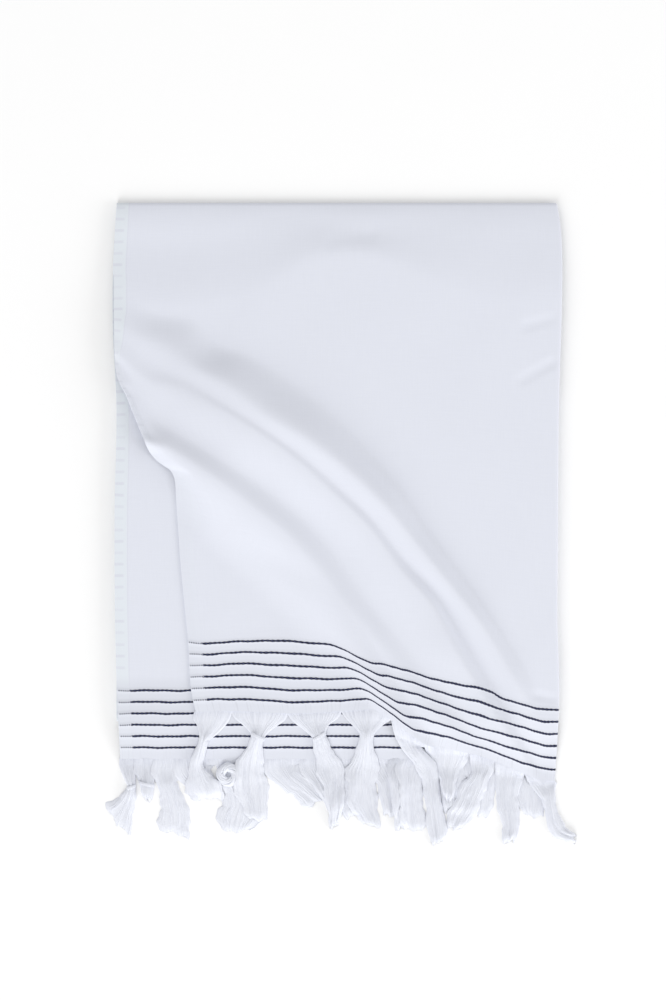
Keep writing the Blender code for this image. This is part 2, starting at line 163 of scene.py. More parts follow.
EDGE_PRESS = (0.75, 9.0)       # where it lies pressed on the lower ply: depth and width
PRESS_RUN = (0.0, 60.0, 330.0, 350.0)
EDGE_PLACES = 120              # places at which the drawn edge is followed
EDGE_EASE = 12.0
SETTLE_ROUNDS = 80
SETTLE_SHARE = 0.25

# Small creases: start x, start y, end x, end y, half width, height
CREASES = (
    (452, 452, 503, 480, 9, -0.8),
    (455, 515, 503, 528, 10, -0.6),
    (468, 101, 503, 92, 7, -1.4),
    (230, 610, 300, 622, 14, -0.7),
)
CREASE_END = 12.0              # how far a crease fades at its ends
LOWER_SHOWN = 100.0            # width of the lower ply's strip that shows
FINE_RUN = 560.0               # the fine grid of the top run ends here

# Woven stripes, counted from the woven end
STRIPES = 6
FIRST_STRIPE = 13.5
STRIPE_PITCH = 13.4
SELF_EDGE_BAND = 14.5
RIB_FOOT, RIB_CROWN = 1.7, 0.8  # half widths of a stripe's rib

# Tassels: lobes, how much further the right side reaches, from x and to x on the woven end, and
# then the places (x, y, width) that the tassel passes, with the knot at the second. All are in
# pixels of the photo, and the tassels lie on each other in this order.
UPPER_TASSELS = (
    (2, 5, 193, 233, (
        (210, 725, 29), (203.5, 740, 9), (198, 757, 12), (195.5, 767, 15), (199, 780, 27),
        (204, 791, 37), (207, 801, 37))),
    (3, 2, 231, 289, (
        (259, 724, 37), (258, 736, 12), (254, 749, 16), (250, 766, 29), (250, 785, 34),
        (254, 805, 30), (256, 821, 21))),
    (3, 0, 287, 342, (
        (315, 724, 32), (319, 736, 12), (322, 749, 18), (330, 770, 27), (335, 790, 23),
        (335, 810, 15), (334, 829, 10))),
    (3, 4, 340, 392, (
        (367, 722, 38), (367, 734, 13), (366, 746, 15.5), (365, 757, 24), (363, 772, 34),
        (361, 790, 30), (363, 806, 29), (369, 820, 22), (373, 828, 15))),
    (2, 0, 423, 471, (
        (449, 757, 41), (447, 769, 30), (448, 779, 20), (449, 790, 15), (449, 800, 9))),
    (2, 0, 390, 429, (
        (410, 747, 19), (419, 757, 16), (428, 770, 20), (432, 786, 18), (433, 802, 15),
        (437, 822, 21), (438, 835, 20), (437, 845, 13))),
    (2, -4, 469, 497, (
        (484, 766, 27), (481, 777, 18), (474, 789, 25), (468, 803, 28), (461, 817, 25),
        (455, 830, 17))),
    (2, 0, 495, 526, (
        (510, 778, 29), (508, 788, 25), (508, 802, 23), (510, 815, 19), (512, 830, 19),
        (510, 844, 12))),
    (2, 0, 524, 556, (
        (545, 787, 25), (549, 797, 15), (551, 807, 13), (554, 822, 15), (561, 834, 16),
        (576, 841, 12))),
)
LOWER_TASSELS = (
    (3, 6, 117, 134, (
        (126.5, 768, 17), (131, 788, 8), (128, 799, 15), (122, 812, 28), (116, 823, 38))),
    (1, 0, 132, 156, (
        (145, 771, 24), (146, 785, 15), (147, 801, 9))),
    (3, 4, 152, 184, (
        (166, 772, 34), (166, 785, 19), (171, 796, 23), (173, 810, 29), (174, 836, 34))),
    (2, 0, 172, 214, (
        (193, 770, 42), (199, 780, 31), (209, 788, 21), (220, 794, 15))),
    (3, -4, 204, 272, (
        (238, 769, 66), (231, 781, 24), (237, 791, 31), (241, 806, 43), (238, 820, 43),
        (235, 832, 34))),
    (3, 0, 262, 303, (
        (283, 768, 44), (289, 778, 28), (299, 786, 27), (308, 794, 28), (318, 802, 25))),
    (2, 0, 299, 336, (
        (317, 768, 38), (323, 782, 22), (331, 800, 18), (337, 812, 13))),
    (2, 0, 332, 364, (
        (348, 769, 34), (352, 784, 20), (350, 806, 23), (352, 818, 18))),
    (2, 0, 361, 398, (
        (382, 769, 36), (388, 782, 22), (390, 800, 20), (391, 817, 16))),
    (1, 0, 388, 406, (
        (395, 770, 18), (397, 782, 15.2), (399, 804, 13), (401, 831, 11))),
    (2, 0, 398, 434, (
        (412, 771, 37), (411, 784, 23), (411, 799, 24), (413, 817, 27), (415, 831, 24))),
    (3, 0, 430, 470, (
        (452, 772, 40), (452, 786, 24), (452, 800, 22), (454, 813, 17))),
    (3, 0, 466, 502, (
        (482, 772, 36), (484, 786, 26), (481, 801, 26), (478, 816, 22))),
    (3, 3, 498, 553, (
        (528, 774, 52), (531, 787, 36), (532, 801, 32), (532, 816, 27))),
)
PIXEL = 1.134                  # size of a pixel of the photo
PHOTO_ZERO = (116.0, 782.0)    # the layout's origin in the photo
SECTION = np.linspace(-1.0, 1.0, 33)  # places across a tassel
BODY_SIDES = 40                # cells round a tassel's body
BODY_STEPS = 62
BUNDLE = 106.0                 # section of a tassel's yarns, square millimetres
BODY_THICK = (2.2, 7.0)
WEB_KEPT = (0.66, 0.98)        # this far towards the waist, the web keeps this share of its width
ROOT = 2.5                     # how far inside the woven end the tassels' webs start
ROOT_CLEAR = 5.0               # up to here past the woven end, a web lies under the cloth's level
ROOT_SINK = 0.6                # underside of a web's root, in plies under the cloth's middle
TUFT = 4.0                     # how far single yarns reach past the body
SIDES = 5                      # sides of a yarn
YARN_STEPS = 30
GROUND_SAMPLES = 11
SKY = 100.0                    # height from which the ground is looked for
WRAP_YARNS = 5
WRAP_STEPS = 24
WRAP_TILT = 0.3                # how far the turns lean, to either side
WRAP_WIDTH = 17.0              # wider knots than this show no turns of yarn

# The knot that was left open on the lower ply
LOOP_PLACE = (228.0, 775.5)    # in pixels of the photo
LOOP_RING = 8.4                # radius of the ring
LOOP_THICK = 4.0               # radius of the hank that forms it
LOOP_YARN = 1.5                # radius of a yarn
LOOP_YARNS = 12
LOOP_STEPS = 36
LOOP_SHIFT = 0.9               # each yarn starts this much further round

# The tucked fringe
TUCKED_TASSELS = 9             # on each ply
TUCKED_YARNS = 12
TUCKED_STEPS = 9
TUCKED_REACH = 82.0
TUCKED_KNOT = (28.0, 7.0)      # how far from the cloth's end it is gathered, and to what half width
SEED = 11

# Camera and light
PHOTO_MIDDLE = (246.0, 319.8)  # the layout's place in the middle of the picture
FIELD = 1134.0                 # what the picture's height covers
CAMERA_HEIGHT = 3000.0
CLOTH_LEVEL = 14.0
SENSOR = 36.0
LIGHT_DISTANCE = 9.0           # metres
LIGHTS = (
    # name, power, compass direction (0 is right, 90 is up), height, size in metres
    ("key", 458.0, -108.0, 27.0, 5.7),
    ("side", 340.0, -20.0, 17.0, 5.7),
)


class TowelSettings(bpy.types.PropertyGroup):
    ply: FloatProperty(
        name="Ply", description="Thickness of the woven cloth", default=PLY * MM, unit="LENGTH")
    cell: FloatProperty(
        name="Cell", description="Grid of the cloth that shows", default=3.4 * MM, unit="LENGTH")
    rib: FloatProperty(
        name="Rib", description="How far a stripe stands proud", default=0.35 * MM, unit="LENGTH")
    yarn: FloatProperty(
        name="Yarn", description="Thickness of a fringe yarn", default=0.9 * MM, unit="LENGTH")
    yarns: IntProperty(name="Yarns", description="Single yarns on a tassel", default=24)
    cotton: FloatVectorProperty(
        name="Cotton", description="Colour of the cloth", default=(0.69, 0.71, 0.782), subtype="COLOR")
    stripe: FloatVectorProperty(
        name="Stripe", description="Colour of the stripes", default=(0.012, 0.014, 0.035),
        subtype="COLOR")
    fringe: FloatVectorProperty(
        name="Fringe", description="Colour of the tassels", default=(0.758, 0.777, 0.842),
        subtype="COLOR")
    floor: FloatVectorProperty(
        name="Floor", description="Colour of the floor", default=(0.92, 0.92, 0.92), subtype="COLOR")
    fill: FloatProperty(
        name="Fill light", description="Strength of the light from all round", default=0.762)


# ---------------------------------------------------------------- the folded cloth

def column(table, key, index):
    """Read one column of a table at any place between its rows, without corners."""
    rows = np.array(table, dtype=float)
    place = rows[:, 0]
    value = rows[:, index]
    slope = np.gradient(value, place)
    key = np.clip(key, place[0], place[-1])
    row = np.clip(np.searchsorted(place, key, side="right") - 1, 0, len(place) - 2)
    span = place[row + 1] - place[row]
    t = (key - place[row]) / span
    start = (1 + 2 * t) * (1 - t) ** 2 * value[row] + t * (1 - t) ** 2 * span * slope[row]
    end = t * t * (3 - 2 * t) * value[row + 1] + t * t * (t - 1) * span * slope[row + 1]
    return start + end


def ease(low, high, value):
    """Rise from 0 at low to 1 at high with level ends."""
    t = np.clip((value - low) / (high - low), 0.0, 1.0)
    return t * t * (3 - 2 * t)


def fade(low, high, value):
    """Fall from 1 at low to 0 at high with level ends."""
    return 1 - ease(low, high, value)


def window(start, full, ending, end, value):
    """Rise from 0 to 1 between the first two places and fall again between the last two."""
    return ease(start, full, value) * fade(ending, end, value)


def to_frame(places):
    """Places of the layout, in millimetres, as places of the frame, in metres."""
    return (places - np.array((*MIDDLE, 0.0))) * MM


class Fold:
    """Sizes of the folded stack in millimetres."""

    def __init__(self):
        self.pitch = PLY + PLY_AIR
        self.pair = 2 * self.pitch
        self.radius = self.pitch / 2
        self.turn_radius = self.pair / 2
        self.flat = HALF_WIDTH - self.radius
        self.arc_end = self.flat + math.pi * self.radius
        self.width = self.arc_end + self.flat
        self.turn = math.pi * self.turn_radius
        self.bottom_run = TOP_FOLD - BOTTOM_FOLD - 2 * self.turn_radius
        self.length = TOP_RUN + self.bottom_run + TUCKED_RUN + 2 * self.turn
        self.ground = PLY / 2 + self.pitch / 2

    def pair_height(self, x, y):
        """Height of the middle of the top pair over the floor."""
        sunk = ease(column(TOP_SAG, x, 1), column(TOP_SAG, x, 2), y)
        return self.ground + (2 * ease(*END_DROP, y) - sunk) * self.pair


def fold_place(x, y):
    """Distances along and across the drawn folds."""
    up = y - TOP_FOLD
    return x * RUN_X + up * RUN_Y, x * RUN_Y - up * RUN_X


def clear_of_fold(x):
    return ease(0.0, FOLD_CLEAR, HALF_WIDTH - x)


def drawn_relief(x, y):
    """How high the drawn folds lift the upper ply."""
    along, across = fold_place(x, y)
    lines = [column(FOLD_LINES, along, i) for i in range(1, 8)]
    tops = [0.0] + [column(FOLD_HEIGHTS, along, i) for i in range(1, 6)] + [0.0]
    height = np.zeros_like(along)
    for i in range(6):
        height = height + (tops[i + 1] - tops[i]) * ease(lines[i], lines[i + 1], across)
    end = np.abs(across - column(END_FOLD, along, 1)) / END_FOLD_WIDTH
    height = height + column(END_FOLD, along, 2) * fade(0.0, 1.0, end)
    return np.maximum(height, 0.0) * clear_of_fold(x)


def drawn_slip(x, y):
    """How far the drawn folds have moved the upper ply to the right and up."""
    along, across = fold_place(x, y)
    right = np.zeros_like(along)
    up = np.zeros_like(along)
    for table, width in SLIPS:
        line = column(table, along, 1)
        share = ease(line - width / 2, line + width / 2, across)
        right = right + column(table, along, 2) * share
        up = up + column(table, along, 3) * share
    return right * clear_of_fold(x), up * clear_of_fold(x)


def creases(x, y):
    """Small creases and the slight unevenness of cloth that lies by its own weight."""
    height = 0.22 * np.sin(x / 23.0 + 1.3 * np.sin(y / 61.0)) * np.sin(y / 37.0 + 0.9 * np.sin(x / 47.0))
    height = height + 0.25 * np.sin((x + 0.7 * y) / 53.0) * np.sin((y - 0.4 * x) / 71.0)
    for x0, y0, x1, y1, width, depth in CREASES:
        length = math.hypot(x1 - x0, y1 - y0)
        forward = ((x - x0) * (x1 - x0) + (y - y0) * (y1 - y0)) / length
        beside = ((x - x0) * (y1 - y0) - (y - y0) * (x1 - x0)) / length
        inside = window(0.0, CREASE_END, length - CREASE_END, length, forward)
        height = height + depth * inside * fade(0.0, width, np.abs(beside))
    return height


def outlined(x, y):
    """Move a place on the squared towel sideways to its wandering outline."""
    left = column(SELF_EDGE, y, 1)
    right = HALF_WIDTH + column(RIGHT_FOLD, y, 1)
    return left + (right - left) * x / HALF_WIDTH


def settle(start_x, start_y, part):
    """Let points slide with the drawn folds until each rests on its place."""
    x, y = start_x.copy(), start_y.copy()
    for _ in range(SETTLE_ROUNDS):
        right, up = drawn_slip(x, y)
        x = x + SETTLE_SHARE * (start_x + right * part - x)
        y = y + SETTLE_SHARE * (start_y + up * part - y)
    return x, y


def squared(fold, x, along):
    """The top run before the folds were drawn."""
    share = ease(RUN_CHANGE[0] * HALF_WIDTH, RUN_CHANGE[1] * HALF_WIDTH, x)
    laid = LEFT_RUN + (RIGHT_RUN - LEFT_RUN) * share
    y = TOP_FOLD - (TOP_RUN - along) / TOP_RUN * laid - fold.turn_radius * (along / TOP_RUN)
    return outlined(x, y), y


def edge_shift(fold, along):
    """How far the self-edge has to move on to its drawn path, at any place along the cloth."""
    first, last = DRAWN_EDGE[0][0], DRAWN_EDGE[-1][0]
    known = np.linspace(first, last, EDGE_PLACES)
    x, y = settle(*squared(fold, np.zeros_like(known), known), 1.0)
    end = fade(last - EDGE_EASE, last, along)
    right = np.interp(along, known, column(DRAWN_EDGE, known, 1) - x) * end
    up = np.interp(along, known, column(DRAWN_EDGE, known, 2) - y) * end
    return right, up


def edge_lift(lift, across, along):
    """The free self-edge droops, curls up where it was drawn away and is pressed down before that."""
    share, width = EDGE_DROOP
    lift = lift * (1 - share * fade(0.0, width, across) * fade(*DROOP_END, along))
    curled = window(*CURL_RUN, along)
    share, width = CURL_SINK
    lift = lift * (1 - share * fade(0.0, width, across) * curled)
    height, width = EDGE_CURL
    lift = lift + height * fade(0.0, width, across) * curled
    depth, width = EDGE_PRESS
    return lift - depth * fade(0.0, width, across) * window(*PRESS_RUN, along)


def half_folded(fold, across):
    """Fold the cut in half: how far from the self-edges it lies, and how far over the pair's middle."""
    arc = np.clip((across - fold.flat) / fold.radius, 0.0, math.pi)
    x = np.where(across < fold.flat, across, fold.flat + fold.radius * np.sin(arc))
    x = np.where(arc >= math.pi, 2 * fold.flat + math.pi * fold.radius - across, x)
    return x, fold.radius * np.cos(arc)


def third_folded(fold, along, side):
    """Fold the pair in three along its length, past the top run: place along, and height."""
    past = along - TOP_RUN
    turned = np.clip(past / fold.turn_radius, 0.0, math.pi)
    bottom = np.clip(past - fold.turn, 0.0, fold.bottom_run)
    turned_back = np.clip((past - fold.turn - fold.bottom_run) / fold.turn_radius, 0.0, math.pi)
    tucked = np.maximum(past - 2 * fold.turn - fold.bottom_run, 0.0)
    angle = turned + turned_back
    reach = fold.turn_radius + side
    y = TOP_FOLD - fold.turn_radius - bottom + tucked + reach * np.sin(angle)
    return y, fold.ground + fold.turn_radius + reach * np.cos(angle)


def lie(fold, across, along, rib=0.0):
    """Place points of the flat cloth, in millimetres, on the folded towel, in metres."""
    across = np.asarray(across, dtype=float)
    along = np.asarray(along, dtype=float)
    x, side = half_folded(fold, across)
    x, y = squared(fold, x, along)

    upper = ease(0.0, 1.0, side / fold.radius) * (along < TOP_RUN)
    moved = upper > 0
    now_x, now_y = settle(x[moved], y[moved], upper[moved])
    right, up = edge_shift(fold, along[moved])
    follow = fade(0.0, EDGE_REACH, across[moved])
    now_x = now_x + right * follow
    now_y = now_y + up * follow
    x[moved], y[moved] = now_x, now_y

    lift = np.zeros_like(x)
    uneven = np.maximum(creases(now_x, now_y) + 0.3, -0.4)
    lift[moved] = (drawn_relief(now_x, now_y) + uneven) * upper[moved]
    lift[moved] = edge_lift(lift[moved], across[moved], along[moved])
    step = 0.1
    tilt = np.arctan2(fold.pair_height(x, y + step) - fold.pair_height(x, y - step), 2 * step)
    top_y = y - side * np.sin(tilt)
    top_z = fold.pair_height(x, y) + side * np.cos(tilt) + lift + rib

    path_y, path_z = third_folded(fold, along, side)
    on_top = along <= TOP_RUN
    y = np.where(on_top, top_y, path_y)
    z = np.where(on_top, top_z, path_z)
    low, high, share = PRESSED
    lowest = PLY / 2
    z = lowest + (z - lowest) * (1 - share * np.clip((y - low) / (high - low), 0.0, 1.0) ** 2)
    return to_frame(np.stack((x, y, z), axis=-1))


def stations(*runs):
    """Places along a line, each run given as (start, end, number of cells)."""
    places = [runs[0][0]]
    for start, end, cells in runs:
        places += [start + (end - start) * (i + 1) / cells for i in range(max(1, cells))]
    return np.array(places)


def across_stations(fold, cell):
    """Places across the cut: fine where it shows, on the upper ply and the lower ply's left strip."""
    fine = fold.width - LOWER_SHOWN
    return stations(
        (0.0, fold.flat, round(fold.flat / cell)),
        (fold.flat, fold.arc_end, 8),
        (fold.arc_end, fine, 26),
        (fine, fold.width, round(LOWER_SHOWN / cell / 1.3)),
    )


def along_stations(fold, cell):
    """Places along the cut, with a foot and a crown for each stripe's rib."""
    places = [0.0, 4.0, 8.0]
    for i in range(STRIPES):
        middle = FIRST_STRIPE + STRIPE_PITCH * i
        places += [middle + away for away in (-RIB_FOOT, -RIB_CROWN, RIB_CROWN, RIB_FOOT)]
        places += [middle + RIB_FOOT + (STRIPE_PITCH - 2 * RIB_FOOT) * j / 3 for j in (1, 2)]
    start = places[-1] + 3.3
    turn_end = TOP_RUN + fold.turn
    bottom_end = turn_end + fold.bottom_run
    back_end = bottom_end + fold.turn
    rest = stations(
        (start, FINE_RUN, round((FINE_RUN - start) / cell)),
        (FINE_RUN, TOP_RUN, 12),
        (TOP_RUN, turn_end, 8),
        (turn_end, bottom_end, 14),
        (bottom_end, back_end, 8),
        (back_end, fold.length, 8),
    )
    return np.concatenate((places, rest))


def rib_height(along, height):
    """The stripes stand a little proud of the weave."""
    lift = np.zeros_like(along)
    for i in range(STRIPES):
        away = np.abs(along - FIRST_STRIPE - STRIPE_PITCH * i)
        lift = np.maximum(lift, height * fade(RIB_CROWN, RIB_FOOT, away))
    return lift


def pick_only(item):
    bpy.ops.object.select_all(action="DESELECT")
    bpy.context.view_layer.objects.active = item
    item.select_set(True)


def points_of(mesh):
    places = np.zeros(len(mesh.vertices) * 3)
    mesh.vertices.foreach_get("co", places)
    return places.reshape(-1, 3)


def grid(name, cells_x, cells_y):
    """A flat grid, with the number of each point's column and row."""
    bpy.ops.object.select_all(action="DESELECT")
    bpy.ops.mesh.primitive_grid_add(x_subdivisions=cells_x, y_subdivisions=cells_y, size=2)
    item = bpy.context.object
    item.name = name
    item.data.name = name
    places = points_of(item.data)
    columns = np.rint((places[:, 0] + 1) / 2 * cells_x).astype(int)
    rows = np.rint((places[:, 1] + 1) / 2 * cells_y).astype(int)
    return item, columns, rows


def write_uv(mesh, u, v):
    """Give each point its own place on the pattern."""
    loops = np.zeros(len(mesh.loops), dtype=int)
    mesh.loops.foreach_get("vertex_index", loops)
    pattern = np.stack((u[loops], v[loops]), axis=-1)
    mesh.uv_layers[0].data.foreach_set("uv", pattern.ravel())


def make_cloth(settings):
    """The whole cut of cloth as a thick sheet, laid on its folds."""
    fold = Fold()
    cell = settings.cell / MM
    across = across_stations(fold, cell)
    along = along_stations(fold, cell)
    cloth, columns, rows = grid("woven_cloth", len(across) - 1, len(along) - 1)
    u, v = across[columns], along[rows]
    wander = 0.35 * np.sin(u / 9.1 + v / 31.0) + 0.2 * np.sin(u / 4.3 + 2.0 * np.sin(v / 11.0))
    inside = window(0.0, 10.0, FINE_RUN, TOP_RUN, v)
    places = lie(fold, u, v + wander * inside, rib_height(v, settings.rib / MM))
    cloth.data.vertices.foreach_set("co", places.ravel())
    write_uv(cloth.data, u * MM, v * MM)
    wall = cloth.modifiers.new("Ply", "SOLIDIFY")
    wall.thickness = settings.ply
    wall.offset = 0.0
    wall.use_even_offset = True
    pick_only(cloth)
    bpy.ops.object.modifier_apply(modifier=wall.name)
    bpy.ops.object.shade_smooth_by_angle(angle=math.radians(60))
    return cloth


# ---------------------------------------------------------------- yarns and tassels

def close_up(item):
    """Merge the seams, face everything outwards and shade it smooth."""
    pick_only(item)
    bpy.ops.object.mode_set(mode="EDIT")
    bpy.ops.mesh.select_all(action="SELECT")
    bpy.ops.mesh.remove_doubles(threshold=1e-6)
    bpy.ops.mesh.normals_make_consistent(inside=False)
    bpy.ops.object.mode_set(mode="OBJECT")
    bpy.ops.object.shade_smooth()


def join(body, piece):
    bpy.ops.object.select_all(action="DESELECT")
    piece.select_set(True)
    body.select_set(True)
    bpy.context.view_layer.objects.active = body
    bpy.ops.object.join()
    return body


def unit(vectors):
    return vectors / (np.linalg.norm(vectors, axis=2, keepdims=True) + 1e-12)


def roll_yarns(name, paths, radii, ups=None):
    """Closed tubes along the given paths: paths is yarns x steps x 3, radii is yarns x steps."""
    radii[:, 0] = radii[:, -1] = 0.0
    yarns, steps, _ = paths.shape
    hank, columns, rows = grid(name, SIDES, steps - 1)
    repeat = hank.modifiers.new("Yarns", "ARRAY")
    repeat.count = yarns
    repeat.use_relative_offset = True
    pick_only(hank)
    bpy.ops.object.modifier_apply(modifier=repeat.name)
    number = np.repeat(np.arange(yarns), len(columns))
    columns = np.tile(columns, yarns)
    rows = np.tile(rows, yarns)
    if ups is None:
        ups = np.zeros_like(paths)
        ups[:, :, 2] = 1.0
    forward = unit(np.gradient(paths, axis=1))
    beside = unit(np.cross(forward, ups))
    over = np.cross(beside, forward)
    angle = (2 * math.pi * columns / SIDES)[:, None]
    spread = np.cos(angle) * beside[number, rows] + np.sin(angle) * over[number, rows]
    places = paths[number, rows] + radii[number, rows][:, None] * spread
    hank.data.vertices.foreach_set("co", places.ravel())
    lengths = np.linalg.norm(np.diff(paths, axis=1), axis=2)
    gone = np.concatenate((np.zeros((yarns, 1)), np.cumsum(lengths, axis=1)), axis=1)
    write_uv(hank.data, columns / SIDES * 0.5 + number, gone[number, rows])
    close_up(hank)
    return hank


def ground_of(item):
    return BVHTree.FromObject(item, bpy.context.evaluated_depsgraph_get())


def ground_below(grounds, x, y, top):
    """Height of the highest thing under a place, in millimetres of the layout."""
    best = 0.0
    start = Vector(to_frame(np.array((x, y, top))))
    for ground in grounds:
        hit = ground.ray_cast(start, Vector((0.0, 0.0, -1.0)))[0]
        if hit is not None:
            best = max(best, hit.z / MM)
    return best


def smooth_along(values, rounds):
    for _ in range(rounds):
        padded = np.concatenate((values[:1], values, values[-1:]))
        values = (padded[:-2] + 2 * padded[1:-1] + padded[2:]) / 4
    return values


def on_photo(x, y):
    """A pixel of the photo as a place on the layout."""
    return (x - PHOTO_ZERO[0]) * PIXEL, (PHOTO_ZERO[1] - y) * PIXEL


class Tassel:
    """One tassel's shape: gathered from the woven end to the knot, and let out into a soft skirt."""

    def __init__(self, row, ends, grounds, ply, draw):
        lobes, further, first, last, places = row
        self.read_path(on_photo(first, 0)[0], on_photo(last, 0)[0], places, ends)
        self.u = SECTION[None, :]
        self.far = self.s[:, None]
        self.wave = draw.random(8) * 2 * math.pi
        self.free = ease(0.0, 0.85 * self.web, self.far)
        self.spread_out(further)
        self.lie_down(grounds, ply)
        self.fill_out(lobes, ply)

    def read_path(self, low, high, places, ends):
        """Where it starts on the woven end, and its middle line, headings and widths from there."""
        wanted = low + (high - low) * (SECTION + 1) / 2
        self.root = np.stack([np.interp(wanted, ends[:, 0], ends[:, k]) for k in range(3)], axis=-1)
        centre = self.root.mean(axis=0)
        x = np.array([centre[0]] + [on_photo(place[0], 0)[0] for place in places])
        y = np.array([centre[1]] + [on_photo(0, place[1])[1] for place in places])
        width = np.array([high - low] + [place[2] * PIXEL for place in places])
        gone = np.concatenate(((0.0,), np.cumsum(np.hypot(np.diff(x), np.diff(y)))))
        known = np.insert(gone, 1, WEB_KEPT[0] * gone[1])
        width = np.insert(width, 1, WEB_KEPT[1] * width[0])
        self.web, self.knot, self.length = gone[1], gone[2], gone[-1]
        self.s = np.linspace(0.0, self.length + TUFT, BODY_STEPS)
        x, y = np.append(x, 2 * x[-1] - x[-2]), np.append(y, 2 * y[-1] - y[-2])
        gone = np.append(gone, 2 * gone[-1] - gone[-2])
        line = np.stack((np.interp(self.s, gone, x), np.interp(self.s, gone, y)), axis=-1)
        self.middle = smooth_along(line, 8)
        self.width = smooth_along(np.interp(self.s, known, width), 4)
        heading = np.gradient(self.middle, axis=0)
        heading /= np.linalg.norm(heading, axis=1, keepdims=True)
        along_end = self.root[-1, :2] - self.root[0, :2]
        self.square = np.array((along_end[1], -along_end[0])) / np.linalg.norm(along_end)
        turned = ease(0.0, self.knot, self.s)[:, None]
        heading = self.square * (1 - turned) + heading * turned
        heading /= np.linalg.norm(heading, axis=1, keepdims=True)
        self.heading = heading
        self.beside = np.stack((-heading[:, 1], heading[:, 0]), axis=-1)

    def spread_out(self, further):
        """Places on the ground, with uneven sides and an uneven tip."""
        u, far, wave = self.u, self.far, self.wave
        side = 1 + 0.10 * np.sin(far / 6.5 + wave[0]) * (u > 0)
        side = side + 0.10 * np.sin(far / 5.3 + wave[1]) * (u < 0)
        side = side + 0.04 * np.sin(far / 1.9 + wave[7] + 3.0 * (u > 0))
        side = 1 + (side - 1) * ease(self.knot, self.knot + 12.0, far)
        side = side * (1 - 0.12 * np.clip((far - self.length + 7.0) / 7.0, 0.0, 1.0) ** 2)
        tip = ease(0.45 * self.length, self.length, far)
        reach = 2.0 * np.sin(2.6 * u + wave[2]) + 1.3 * np.sin(7.5 * u + wave[3]) + further * PIXEL * u
        laid = []
        for k in (0, 1):
            out = self.beside[:, k:k + 1] * u * self.width[:, None] / 2 * side
            place = self.middle[:, k:k + 1] + out + self.heading[:, k:k + 1] * reach * tip
            laid.append(self.root[None, :, k] * (1 - self.free) + place * self.free)
        self.x, self.y = laid

    def lie_down(self, grounds, ply):
        """Height of its underside, from what lies below it."""
        slots = np.linspace(0, len(SECTION) - 1, GROUND_SAMPLES).astype(int)
        ground = np.zeros((len(self.s), GROUND_SAMPLES))
        for i in range(len(self.s)):
            for j, slot in enumerate(slots):
                x, y, root = self.x[i, slot], self.y[i, slot], self.root[slot]
                out = np.dot((x - root[0], y - root[1]), self.square)
                near = self.s[i] < 0.5 * self.web or out < ROOT + ROOT_CLEAR
                ground[i, j] = ground_below(grounds, x, y, root[2] - ROOT_SINK * ply if near else SKY)
        padded = np.concatenate((ground[:1], ground, ground[-1:]))
        ground = np.maximum(np.maximum(padded[:-2], padded[1:-1]), padded[2:])
        wide = np.concatenate((ground[:, :1], ground, ground[:, -1:]), axis=1)
        ground = np.maximum(ground, (wide[:, :-2] + wide[:, 2:]) / 2)
        ground = smooth_along(ground, 4)
        ground = np.array([np.interp(np.arange(len(SECTION)), slots, line) for line in ground])
        root_low = self.root[None, :, 2] - ROOT_SINK * ply
        self.base = np.maximum(root_low * (1 - self.free) + ground * self.free, ground) + 0.05

    def fill_out(self, lobes, ply):
        """Height of its top: the yarns' section over the width, with lobes and grooves."""
        u, far, wave = self.u, self.far, self.wave
        sheet = ply * (0.7 + 0.35 * ease(ROOT, ROOT + ROOT_CLEAR, self.s))
        thick = np.clip(BUNDLE / self.width, *BODY_THICK)
        thick = sheet + (thick - sheet) * ease(0.3 * self.web, self.knot, self.s)
        crown = (1 - np.abs(u) ** 2.4) ** 0.72
        groove = np.zeros_like(self.x)
        for j in range(1, lobes):
            line = -1 + 2 * j / lobes + 0.16 * np.sin(far / 17.0 + wave[4] + 2.4 * j)
            groove = np.maximum(groove, np.exp(-((u - line) / 0.17) ** 2))
        deep = 0.07 + 0.24 * ease(self.knot, self.length, far)
        pleats = 0.06 * np.sin(9.0 * u + wave[5]) * ease(0.0, self.web, far)
        pleats = pleats * fade(self.knot, self.knot + 9.0, far)
        strands = 0.028 * np.sin(15.0 * u + 1.4 * np.sin(far / 11.0 + wave[6]))
        height = crown * (1 - groove * deep + pleats + strands)
        tip = (1 - np.clip((far - self.length + 9.0) / 9.0, 0, 1) ** 2) ** 0.7
        self.top = self.base + thick[:, None] * height * (np.sqrt(np.clip(far / 1.5, 0.0, 1.0)) * tip)

    def sample(self, values, u, s):
        """Read a table of the tassel's shape at places across and along it."""
        row = np.clip(s / self.s[-1] * (len(self.s) - 1), 0, len(self.s) - 1.001)
        slot = np.clip((u + 1) / 2 * (len(SECTION) - 1), 0, len(SECTION) - 1.001)
        i, j = row.astype(int), slot.astype(int)
        a, b = row - i, slot - j
        near = values[i, j] * (1 - b) + values[i, j + 1] * b
        return near * (1 - a) + (values[i + 1, j] * (1 - b) + values[i + 1, j + 1] * b) * a

    def place(self, u, s, over):
        """Places on the tassel's top (over 1) or on its underside (over 0)."""
        x, y, base, top = (self.sample(values, u, s) for values in (self.x, self.y, self.base, self.top))
        return np.stack((x, y, base + (top - base) * over), axis=-1)


def tassel_body(name, shape):
    """The soft body of a tassel, closed all round."""
    body, columns, rows = grid(name, BODY_SIDES, BODY_STEPS - 1)
    angle = 2 * math.pi * columns / BODY_SIDES
    u = np.cos(angle)
    s = shape.length * rows / (BODY_STEPS - 1)
    over = (np.sin(angle) > 1e-6).astype(float)
    places = to_frame(shape.place(u, s, over))
    body.data.vertices.foreach_set("co", places.ravel())
    strands = (u + 1) * 15 + 0.5
    write_uv(body.data, -strands, s * MM)
    close_up(body)
    return body


